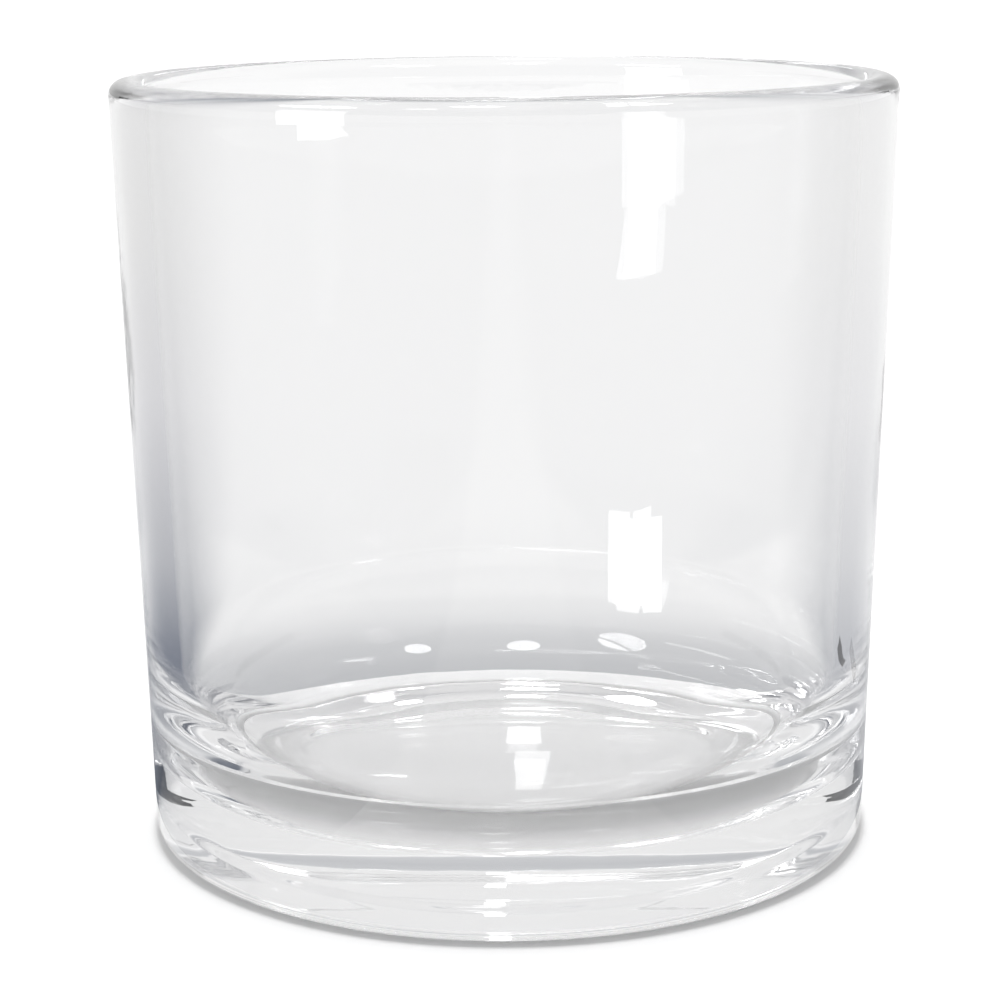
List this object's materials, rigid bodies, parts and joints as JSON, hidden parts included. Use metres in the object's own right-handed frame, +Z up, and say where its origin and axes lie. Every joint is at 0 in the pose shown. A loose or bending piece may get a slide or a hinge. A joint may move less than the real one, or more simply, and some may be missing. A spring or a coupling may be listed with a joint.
{
  "type": "heavy-base glass vessel",
  "caption": "Clear glass vessel with straight, slightly tapered walls, a rounded rim, a rounded inner corner and a thick flat base, for holding a liquid, crystals or other contents",
  "frame": {"origin": "centre of the foot, on the surface that the vessel stands on", "axes": "+Z up along the axis of the vessel, out of the open mouth; the vessel is turned, so +X and +Y are any two directions across it"},
  "size_m": [0.1, 0.1, 0.099],
  "materials": {
    "clear_glass": "clear and colourless, fire-polished"
  },
  "bodies": {
    "root": {"glass_vessel": "clear_glass"}
  },
  "joints": []
}
